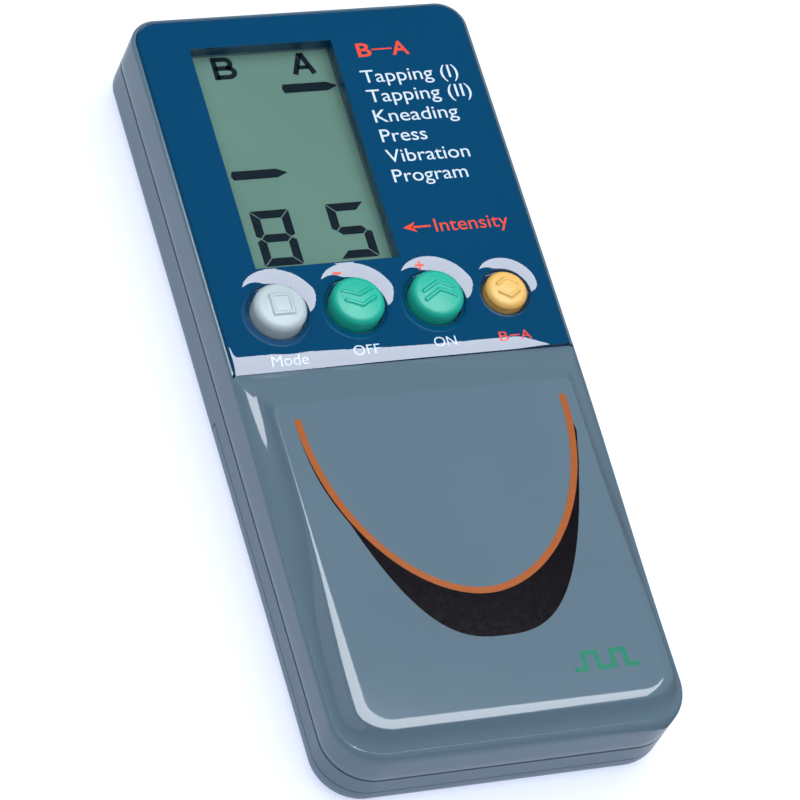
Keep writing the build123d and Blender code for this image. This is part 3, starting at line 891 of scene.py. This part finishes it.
def plate_surface(plate):
    """The face plate's top as a height over the plan."""
    roll, roll_radius = plate.roll * TO_MM, plate.roll_radius * TO_MM
    rim, dish_radius = plate.rim_radius * TO_MM, plate.dish_radius * TO_MM

    def height(x, y):
        x, y = np.asarray(x, float), np.asarray(y, float)
        share = (1.0 - 0.22 * eased(x, -22.0, 6.0)) * (1.0 - 0.93 * eased(x, 19.5, 27.5))
        level = FACE_HEIGHT - rolled(y - PLATE_FOOT, roll * share, roll_radius)
        edge = rim_distance(x, y, PLATE_HALF, PLATE_HEAD, PLATE_CORNER)
        horn = (1.0 - eased(y, 1.5, 6.5)) * (x < 0)
        level = level - rolled(edge, rim * 0.9, rim) * horn - np.clip(0.3 - edge, 0, 0.3) * (1 - horn)
        for key in KEYS:
            out = key.away(x, y) - key.well
            level = level - rolled(out, key.dish - key.well, dish_radius) * (out > -0.001)
            level = level - rolled(out, 0.22, 0.2205) * (out > -0.001)
        for key in KEYS:
            level = np.where(key.away(x, y) < key.well - 0.001, WELL_FLOOR, level)
        return level

    return height


def plate_points(outer_rings):
    """Points inside the plate that carry its rolled edges and dishes."""
    points = [tuple(p) for ring in outer_rings for p in ring]
    for key in KEYS:
        for out in (0.22, 0.16, 0.1, 0.05, 0.0, -0.03):
            points += [tuple(p) for p in circle(key.x, key.y, key.well + out, 144)]
    for key in KEYS:
        others = [k for k in KEYS if k is not key]
        for radius in np.arange(key.well + 0.4, key.dish + 0.5, 0.21):
            for x, y in circle(key.x, key.y, radius, 150):
                nearest = all(k.away(x, y) - k.dish > radius - key.dish + 0.1 for k in others)
                if nearest and on_plate(x, y):
                    points.append((x, y))
    for row, y in enumerate(np.arange(PLATE_FOOT + 0.1, 23.0, 0.24)):
        for x in np.arange(-PLATE_HALF + 1.2, PLATE_HALF - 1.2, 0.42) + 0.21 * (row % 2):
            if on_plate(x, y) and all(k.away(x, y) > k.dish + 0.6 for k in KEYS):
                points.append((x, y))
    return points


def on_plate(x, y):
    """Whether a point lies on the plate, clear of its edges and of the window."""
    beside = PANE_LOW[0] - 0.15 < x < PANE_HIGH[0] + 0.15 and y > PANE_LOW[1] - 0.15
    return abs(x) < PLATE_HALF - 1.1 and y > PLATE_FOOT + 0.08 and not beside


def build_face_plate(look):
    """Gloss face plate: rolled foot edge, display window and a dish round each key."""
    shape = Shape()
    shares = np.concatenate([np.linspace(0, 0.08, 14), np.linspace(0.1, 1, 46)])

    corners = (PLATE_FOOT_CORNER, PLATE_CORNER)
    outer, way = rounded_plan(PLATE_HALF, PLATE_FOOT, PLATE_HEAD, *corners, shares, 120, 12)
    keep = way[:, 1] > -0.2
    rings = [outer[keep] - way[keep] * d for d in (0.04, 0.1, 0.2, 0.32, 0.48, 0.68, 0.96)]
    holes = [pane_outline(0.0)] + [circle(k.x, k.y, k.radius + 0.3, 72) for k in KEYS]
    pierced(
        shape, outer, holes, plate_surface(look.plate), PLATE_UNDERSIDE, plate_points(rings)
    )
    made = shape.piece("face_plate_moulding", HOUSING, "plate_blue", look, "plate_blue", 32.0)
    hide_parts("face_plate")


def build_front_shell(look):
    """Front moulding: wall, raised plateau and the deck under the face plate."""
    shape = Shape()
    build_wall(shape, look.housing)
    build_plateau(shape, look.housing)
    build_deck(shape)
    made = shape.piece("front_moulding", HOUSING, "housing_grey", look, "case_grey", 32.0)
    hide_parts("front_shell")


RELIEFS = {
    "mode": [[(-1.6, -1.7), (1.6, -1.7), (1.6, 1.7), (-1.6, 1.7), (-1.6, -1.7)]],
    "off": [[(-2.9, 1.7), (-0.1, 0.4), (2.9, 1.9)], [(-2.4, -0.3), (0.0, -1.5), (2.6, -0.1)]],
    "on": [[(-2.6, 0.2), (0.1, 1.6), (2.4, 0.5)], [(-2.8, -1.5), (0.0, 0.1), (2.7, -1.1)]],
    "swap": [[(-1.6, 0.75), (0.0, 1.75), (1.6, 0.75)], [(-1.6, -0.75), (0.0, -1.75), (1.6, -0.75)]],
}


def ridge(x, y, paths, half):
    """1 on a path, falling smoothly to 0 at half a width away."""
    near = np.full(np.shape(x), 9.0)
    for path in paths:
        for (x0, y0), (x1, y1) in zip(path, path[1:]):
            dx, dy = x1 - x0, y1 - y0
            t = np.clip(((x - x0) * dx + (y - y0) * dy) / (dx * dx + dy * dy), 0, 1)
            near = np.minimum(near, np.hypot(x - x0 - t * dx, y - y0 - t * dy))
    return eased(half - near, 0.0, half * 0.8)


def build_key(key, look):
    """One key: flanged foot, round stem and a crowned top with a raised mark."""
    count = 160
    shape = Shape()
    edge, crown, relief = (v * TO_MM for v in (look.keys.edge, look.keys.crown, look.keys.relief))
    flange_low, flange_high = 11.55, 12.35
    top = key.top - relief
    shoulder = top - crown
    turns = [(1.4, key.low), (1.5, key.low + 0.1), (1.5, flange_low), (key.flange, flange_low)]
    turns += [(key.flange, flange_high), (key.radius, flange_high), (key.radius, FACE_HEIGHT)]
    for k in range(13):
        a = math.radians(90.0 * k / 12)
        turns.append((key.radius - edge * (1 - math.cos(a)), shoulder - edge * (1 - math.sin(a))))
    rings = [lifted(circle(key.x, key.y, r, count), z) for r, z in turns]
    flat = key.radius - edge
    for r in np.linspace(flat, 0.06, 44)[1:]:
        ring = circle(0, 0, r, count)
        mark = ridge(ring[:, 0], ring[:, 1], RELIEFS[key.name], 0.46)
        z = top - crown * (r / flat) ** 2 + relief * mark
        rings.append(lifted(ring + (key.x, key.y), z))
    rows = shape.skin(rings)
    mark = ridge(np.zeros(1), np.zeros(1), RELIEFS[key.name], 0.42)[0]
    shape.lid(rows[-1], (key.x, key.y, top + relief * mark))
    shape.lid(rows[0], (key.x, key.y, key.low), True)
    made = shape.piece(key.name + "_key_cap", key.name + "_key", key.slot, look, key.slot, 40.0)
    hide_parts(key.name + "_button")


# --------------------------------------------------------- display and prints
def stroke(shape, path, half, low, high):
    """A bar of even width along a path, with square ends and mitred corners."""
    path = [np.array(p, float) for p in path]
    left, right = [], []
    for k, p in enumerate(path):
        before = path[k] - path[k - 1] if k else path[1] - path[0]
        after = path[k + 1] - path[k] if k + 1 < len(path) else before
        before, after = before / np.hypot(*before), after / np.hypot(*after)
        way = before + after
        way = way / np.hypot(*way)
        side = np.array([-way[1], way[0]])
        reach = half / max(0.35, float(side @ np.array([-before[1], before[0]])))
        left.append(p + side * reach)
        right.append(p - side * reach)
    for k in range(len(path) - 1):
        shape.slab([right[k], right[k + 1], left[k + 1], left[k]], low, high)


def arc(cx, cy, rx, ry, start, stop, count=14):
    return [
        (cx + rx * math.cos(math.radians(a)), cy + ry * math.sin(math.radians(a)))
        for a in np.linspace(start, stop, count)
    ]


def digit(shape, left, foot, lit, low, high):
    """A seven-segment figure with mitred ends; lit names the segments a to g."""
    width, tall, bar, gap = 6.8, 10.6, 1.5, 0.14
    right, head, middle = left + width, foot + tall, foot + tall / 2
    half = bar / 2
    in_left, in_right = left + gap + bar, right - gap - bar
    shapes = {
        "a": [(in_left, head - bar), (in_right, head - bar), (right - gap, head), (left + gap, head)],
        "d": [(left + gap, foot), (right - gap, foot), (in_right, foot + bar), (in_left, foot + bar)],
        "g": [
            (left + gap + half, middle),
            (in_left, middle - half),
            (in_right, middle - half),
            (right - gap - half, middle),
            (in_right, middle + half),
            (in_left, middle + half),
        ],
    }
    for name, x, inward in (("f", left, 1), ("e", left, 1), ("b", right, -1), ("c", right, -1)):
        upper_half = name in "bf"
        y0 = middle + gap if upper_half else foot + gap
        y1 = head - gap if upper_half else middle - gap
        near_low, near_high = (half, bar) if upper_half else (bar, half)
        outline = [
            (x, y0 + half * 0.5 if upper_half else y0),
            (x + inward * bar, y0 + near_low),
            (x + inward * bar, y1 - near_high),
            (x, y1 if upper_half else y1 - half * 0.5),
        ]
        if upper_half:
            outline.insert(1, (x + inward * half, y0))
        else:
            outline.insert(3, (x + inward * half, y1))
        shapes[name] = outline if inward > 0 else outline[::-1]
    for name in lit:
        shape.slab(shapes[name], low, high)


def build_display_marks(look):
    """What the display shows: channel letters, their bars and a two-figure number."""
    shape = Shape()
    low, high = GLASS_HEIGHT + 0.005, GLASS_HEIGHT + 0.05
    digit(shape, -17.65, 21.2, "abcdefg", low, high)
    digit(shape, -4.3, 21.5, "afgcd", low, high)
    for left, y in ((-5.45, 54.95), (-18.85, 38.8)):
        bar = [(0.3, -0.85), (8.0, -0.85), (9.9, 0.0), (8.0, 0.85), (0.3, 0.85), (0.0, 0.0)]
        shape.slab([(left + dx, y + dy) for dx, dy in bar], low, high)
    half = 0.47
    stroke(shape, [(-16.0, 57.55), (-16.0, 61.95)], half, low, high)
    stroke(shape, [(-16.0, 61.5), *arc(-14.1, 60.64, 0.95, 0.86, 90, -90), (-16.0, 59.78)], 0.43, low, high)
    stroke(shape, [(-14.1, 59.78), *arc(-13.95, 58.88, 1.15, 0.88, 75, -90), (-16.0, 58.0)], 0.43, low, high)
    stroke(shape, [(-2.25, 57.6), (-0.6, 61.75)], half, low, high)
    stroke(shape, [(-0.5, 61.75), (1.15, 57.6)], half, low, high)
    stroke(shape, [(-1.6, 58.95), (0.5, 58.95)], 0.38, low, high)
    shape.piece("display_marks", HOUSING, "display_segment", look, "lcd_glass")


def cut_up(mesh, step):
    """Cuts a mesh along a square grid, so that it can follow a curved surface."""
    held = bmesh.new()
    held.from_mesh(mesh)
    spots = np.array([v.co for v in held.verts])
    for axis in (0, 1):
        way = [0.0, 0.0, 0.0]
        way[axis] = 1.0
        for place in np.arange(spots[:, axis].min() + step, spots[:, axis].max(), step):
            at = [0.0, 0.0, 0.0]
            at[axis] = place
            parts = held.verts[:] + held.edges[:] + held.faces[:]
            bmesh.ops.bisect_plane(held, geom=parts, plane_co=at, plane_no=way, dist=1e-5)
    bmesh.ops.triangulate(held, faces=held.faces[:])
    held.to_mesh(mesh)
    held.free()


def type_line(shape, words, x, end, y, size, surface, film, weight=0.0):
    """Sets a line of type on a surface from x to end, on a baseline at y."""
    curve = bpy.data.curves.new("type", "FONT")
    curve.body = words
    curve.size = size
    curve.extrude = film / 2
    curve.offset = weight
    curve.resolution_u = 5
    holder = bpy.data.objects.new("type", curve)
    mesh = bpy.data.meshes.new_from_object(holder)
    cut_up(mesh, 0.45)
    at = np.array([v.co for v in mesh.vertices])
    left, right = at[:, 0].min(), at[:, 0].max()
    px, py = x + (at[:, 0] - left) * (end - x) / (right - left), y + at[:, 1]
    index = shape.add(np.column_stack([px, py, surface(px, py) + at[:, 2] + film / 2]))
    for polygon in mesh.polygons:
        shape.faces.append(tuple(index[v] for v in polygon.vertices))
    bpy.data.objects.remove(holder)
    bpy.data.curves.remove(curve)
    bpy.data.meshes.remove(mesh)


MODE_LINES = (
    ("Tapping (I)", 7.8, 25.2, 53.3),
    ("Tapping (II)", 7.8, 26.5, 49.4),
    ("Kneading", 7.8, 22.9, 45.4),
    ("Press", 7.9, 16.1, 41.5),
    ("Vibration", 7.8, 22.6, 37.5),
    ("Program", 7.8, 21.1, 33.6),
)


def build_plate_prints(look):
    """Function names and marks on the face plate."""
    surface = plate_surface(look.plate)
    film = look.prints.film * TO_MM
    white, red = Shape(), Shape()
    for words, x, end, y in MODE_LINES:
        type_line(white, words, x, end, y, 3.6, surface, film)
    type_line(white, "Mode", -22.5, -16.2, 1.4, 2.6, surface, film)
    type_line(white, "OFF", -8.3, -3.7, 2.0, 2.5, surface, film)
    type_line(white, "ON", 5.8, 9.7, 2.2, 2.5, surface, film)
    white.piece("function_names", HOUSING, "ink_white", look)
    type_line(red, "Intensity", 12.3, 25.4, 23.6, 3.6, surface, film)
    type_line(red, "B", 8.5, 11.0, 58.5, 3.8, surface, film, 0.06)
    type_line(red, "A", 14.7, 17.8, 58.5, 3.8, surface, film, 0.06)
    type_line(red, "B", 17.3, 18.9, 2.1, 2.5, surface, film)
    type_line(red, "A", 21.0, 22.9, 2.1, 2.5, surface, film)
    for path, half in (
        ([(11.2, 59.8), (14.8, 59.8)], 0.13),
        ([(19.1, 3.0), (20.9, 3.0)], 0.1),
        ([(-7.8, 17.5), (-6.2, 17.5)], 0.2),
        ([(6.8, 17.7), (8.4, 17.7)], 0.2),
        ([(7.6, 16.9), (7.6, 17.5)], 0.2),
        ([(7.6, 17.9), (7.6, 18.5)], 0.2),
        ([(8.2, 24.8), (11.6, 24.8)], 0.18),
    ):
        flat = Shape()
        stroke(flat, finely(path), half, 0.0, film)
        lay(red, flat, surface)
    flat = Shape()
    flat.slab([(6.7, 24.8), (9.0, 23.8), (8.4, 24.8), (9.0, 25.8)], 0.0, film)
    lay(red, flat, surface)
    red.piece("channel_names", HOUSING, "ink_red", look)


def finely(path, step=0.3):
    """The same straight path with more points along it."""
    start, stop = np.array(path[0], float), np.array(path[-1], float)
    count = max(2, int(np.hypot(*(stop - start)) / step) + 1)
    return [start + (stop - start) * t for t in np.linspace(0, 1, count)]


def lay(shape, flat, surface):
    """Adds a flat print to a shape, lifted on to a surface."""
    at = np.array(flat.points)
    index = shape.add(np.column_stack([at[:, :2], at[:, 2] + surface(at[:, 0], at[:, 1])]))
    shape.faces += [tuple(index[v] for v in face) for face in flat.faces]


def band_line(u):
    """The curved band's middle line, from its left end at -1 to its right end at 1."""
    middle, head, half, depth, power = 0.52, -11.3, 22.9, 32.1, 1.9
    t = u * math.pi / 2
    x = middle + half * math.copysign(abs(math.sin(t)) ** (2 / power), u)
    return np.array([x, head - depth * math.cos(t) ** (2 / power)])


def crescent_edge(u):
    """The dark crescent's outer edge: close round the band, then swelling at the foot."""
    ahead, behind = band_line(min(1.0, u + 0.01)), band_line(max(-1.0, u - 0.01))
    way = (ahead - behind) / np.hypot(*(ahead - behind))
    spread = 0.5 + 0.32 * min(1.0, (1.0 - abs(u)) / 0.22)
    x, y = band_line(u) + spread * np.array([way[1], -way[0]])
    swell = -51.5 + 36.1 * abs((x - 0.81) / 23.5) ** 2.76
    return np.array([x, min(y, swell)])


def build_plateau_prints(look):
    """The curved band, the crescent under it and a small pulse mark."""
    film = look.prints.film * TO_MM
    low = PLATEAU_HEIGHT
    spots = np.linspace(-1, 1, 161)
    dark = Shape()
    inner = [band_line(u) for u in spots]
    outer = [crescent_edge(u) for u in spots]
    for k in range(len(spots) - 1):
        dark.slab([outer[k], outer[k + 1], inner[k + 1], inner[k]], low, low + film)
    dark.piece("plateau_crescent", HOUSING, "ink_black", look)
    band = Shape()
    path = [np.array([inner[0][0], -10.6])] + inner + [np.array([inner[-1][0], -10.6])]
    stroke(band, path, 0.57, low, low + film * 2.5)
    for end in (path[0], path[-1]):
        band.slab(arc(end[0], end[1], 0.57, 0.57, 0, 180), low, low + film * 2.5)
    band.piece("plateau_band", HOUSING, "ink_orange", look)
    pulse = Shape()
    foot, top = -58.9, -56.2
    wave = [(10.6, foot), (12.6, foot), (12.6, top), (14.8, top), (14.8, foot)]
    wave += [(17.4, foot), (17.4, top), (19.6, top), (19.6, foot), (21.6, foot)]
    stroke(pulse, wave, 0.42, low, low + film)
    pulse.piece("pulse_mark", HOUSING, "ink_green", look)


# --------------------------------------------------------------------- stage
def stage_paper(look, name, share=1.0):
    g = Graph(name)
    fibre = g.noise(60.0, 4.0)
    base = g.shade(fibre, tinted(look.studio.floor, 0.99 * share), tinted(look.studio.floor, 1.01 * share))
    glow = {"Emission_Color": (0.70, 0.78, 1.0, 1.0), "Emission_Strength": 0.72 * share}
    return g.end(g.surface(base, 0.75 + fibre * 0.1, IOR=1.3, **glow))


def build_sheet(name, low, high, height, material):
    """A level sheet of paper between two corners, in metres."""
    shape = Shape()
    rows = [
        [(x * TO_MM, y * TO_MM, height * TO_MM) for x in np.linspace(low[0], high[0], 9)]
        for y in np.linspace(low[1], high[1], 9)
    ]
    shape.skin(rows, closed=False)
    return shape.made_object(name, material)


def area_light(name, place, aim, size, power, gloss_only, colour=(1, 1, 1)):
    """A soft rectangle of light, seen either only in gloss or only by matt surfaces."""
    light = bpy.data.lights.new(name, "AREA")
    light.shape = "RECTANGLE"
    light.size, light.size_y = size
    light.energy = power
    light.color = colour
    made = bpy.data.objects.new(name, light)
    bpy.context.scene.collection.objects.link(made)
    made.location = place
    way = np.array(aim, float) - np.array(place, float)
    made.rotation_mode = "QUATERNION"
    made.rotation_quaternion = Vector(way).to_track_quat("-Z", "Y")
    made.visible_camera = False
    made.visible_diffuse = not gloss_only
    made.visible_glossy = gloss_only
    return made


def build_stage(look):
    """Pale floor, soft studio light and the camera."""
    scene = bpy.context.scene
    scene.view_settings.view_transform = "Standard"
    reach, base = 0.42, CAD_BOX[0][2]
    # the floor is left out of gloss; a dimmer sheet just above it stands in on the near sides
    floor = build_sheet("floor", (-reach, -reach), (reach, reach), base, stage_paper(look, "floor_paper"))
    floor.visible_glossy = False
    edge = HALF_WIDTH * TO_METRES + 0.004
    dim_paper = stage_paper(look, "mirror_paper", 0.55)
    card = build_sheet("mirror_card", (-reach, -reach), (edge, reach), base + 0.0001, dim_paper)
    card.visible_camera = card.visible_diffuse = card.visible_shadow = False

    high, turn = 2.0, math.radians(-16.0)
    across, along = (-0.58, 0.60), (-0.50, 0.512)
    wide, tall = (across[1] - across[0]) * high, (along[1] - along[0]) * high
    middle_x, middle_y = sum(across) * high / 2, sum(along) * high / 2
    sheen = area_light(
        "overhead_sheen",
        (middle_x, middle_y, high),
        (middle_x, middle_y, 0),
        (wide, tall),
        look.studio.sheen * wide * tall * math.pi,
        gloss_only=True,
        colour=(0.94, 0.95, 1.0),
    )
    spin = Matrix.Rotation(turn, 4, "Z")
    sheen.location = spin @ sheen.location
    sheen.rotation_quaternion = spin.to_quaternion() @ sheen.rotation_quaternion
    area_light("sky_fill", (0.1, 0.1, 1.4), (0.1, 0.1, 0), (3.4, 3.4), look.studio.fill, False)
    area_light("key_light", (0.5, 0.5, 1.1), (0, 0, 0), (0.7, 0.7), look.studio.key, False)

    world = scene.world or bpy.data.worlds.new("room")
    scene.world = world
    world.use_nodes = True
    tree = world.node_tree
    tree.nodes.clear()
    path = tree.nodes.new("ShaderNodeLightPath")
    mix = tree.nodes.new("ShaderNodeMixShader")
    out = tree.nodes.new("ShaderNodeOutputWorld")
    tree.links.new(path.outputs["Is Camera Ray"], mix.inputs[0])
    rooms = (((0.93, 0.95, 1.0, 1.0), 0.06), ((1.0, 1.0, 1.0, 1.0), 1.0))
    for socket, (colour, strength) in enumerate(rooms, 1):
        room = tree.nodes.new("ShaderNodeBackground")
        room.inputs["Color"].default_value = colour
        room.inputs["Strength"].default_value = strength
        tree.links.new(room.outputs[0], mix.inputs[socket])
    tree.links.new(mix.outputs[0], out.inputs[0])

    lens = bpy.data.cameras.new("camera")
    lens.lens = look.studio.lens
    lens.sensor_width = 36.0
    lens.clip_start, lens.clip_end = 0.01, 20.0
    camera = bpy.data.objects.new("camera", lens)
    scene.collection.objects.link(camera)
    camera.location = (-0.29769, -0.34656, 0.63854)
    camera.rotation_mode = "QUATERNION"
    camera.rotation_quaternion = (0.94677, 0.25135, -0.17767, -0.09424)
    scene.camera = camera


# ----------------------------------------------------------------- operators
class STIM_OT_finishes(bpy.types.Operator):
    """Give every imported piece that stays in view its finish"""

    bl_idname = "stimulator.finishes"
    bl_label = "Finish packed pieces"

    def execute(self, context):
        look = settings(context)
        for node, name in NODE_FINISH.items():
            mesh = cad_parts[node].data
            mesh.materials.clear()
            mesh.materials.append(finish(name, look))
        return {"FINISHED"}


class STIM_OT_front_moulding(bpy.types.Operator):
    """Mould the front of the housing"""

    bl_idname = "stimulator.front_moulding"
    bl_label = "Front moulding"

    def execute(self, context):
        build_front_shell(settings(context))
        return {"FINISHED"}


class STIM_OT_face_plate(bpy.types.Operator):
    """Mould the gloss face plate"""

    bl_idname = "stimulator.face_plate"
    bl_label = "Face plate"

    def execute(self, context):
        build_face_plate(settings(context))
        return {"FINISHED"}


class STIM_OT_keys(bpy.types.Operator):
    """Mould the four keys"""

    bl_idname = "stimulator.keys"
    bl_label = "Keys"

    def execute(self, context):
        for key in KEYS:
            build_key(key, settings(context))
        return {"FINISHED"}


class STIM_OT_display(bpy.types.Operator):
    """Lay the lit marks on the display"""

    bl_idname = "stimulator.display"
    bl_label = "Display marks"

    def execute(self, context):
        build_display_marks(settings(context))
        return {"FINISHED"}


class STIM_OT_prints(bpy.types.Operator):
    """Print the function names, the curved band and the crescent"""

    bl_idname = "stimulator.prints"
    bl_label = "Prints"

    def execute(self, context):
        build_plate_prints(settings(context))
        build_plateau_prints(settings(context))
        return {"FINISHED"}


class STIM_OT_stage(bpy.types.Operator):
    """Set the floor, the lights and the camera"""

    bl_idname = "stimulator.stage"
    bl_label = "Stage"

    def execute(self, context):
        build_stage(settings(context))
        return {"FINISHED"}


class STIM_PT_panel(bpy.types.Panel):
    """Builders for the stimulator"""

    bl_idname = "STIM_PT_panel"
    bl_label = "Stimulator"
    bl_space_type = "VIEW_3D"
    bl_region_type = "UI"
    bl_category = "Stimulator"

    def draw(self, context):
        for step in STEPS:
            self.layout.operator(step.bl_idname)


STEPS = (
    STIM_OT_finishes,
    STIM_OT_front_moulding,
    STIM_OT_face_plate,
    STIM_OT_keys,
    STIM_OT_display,
    STIM_OT_prints,
    STIM_OT_stage,
)
GROUPS = (
    HousingSettings,
    PlateSettings,
    KeySettings,
    PrintSettings,
    StudioSettings,
    StimulatorSettings,
)


def register():
    for cls in (*GROUPS, *STEPS, STIM_PT_panel):
        bpy.utils.register_class(cls)
    bpy.types.Scene.stimulator = bpy.props.PointerProperty(
        type=StimulatorSettings, name="Stimulator", description="The stimulator's settings"
    )


def unregister():
    del bpy.types.Scene.stimulator
    for cls in reversed((*GROUPS, *STEPS, STIM_PT_panel)):
        bpy.utils.unregister_class(cls)


def main():
    register()
    bpy.ops.stimulator.finishes()
    bpy.ops.stimulator.front_moulding()
    bpy.ops.stimulator.face_plate()
    bpy.ops.stimulator.keys()
    bpy.ops.stimulator.display()
    bpy.ops.stimulator.prints()
    bpy.ops.stimulator.stage()


if __name__ == "__main__":
    main()
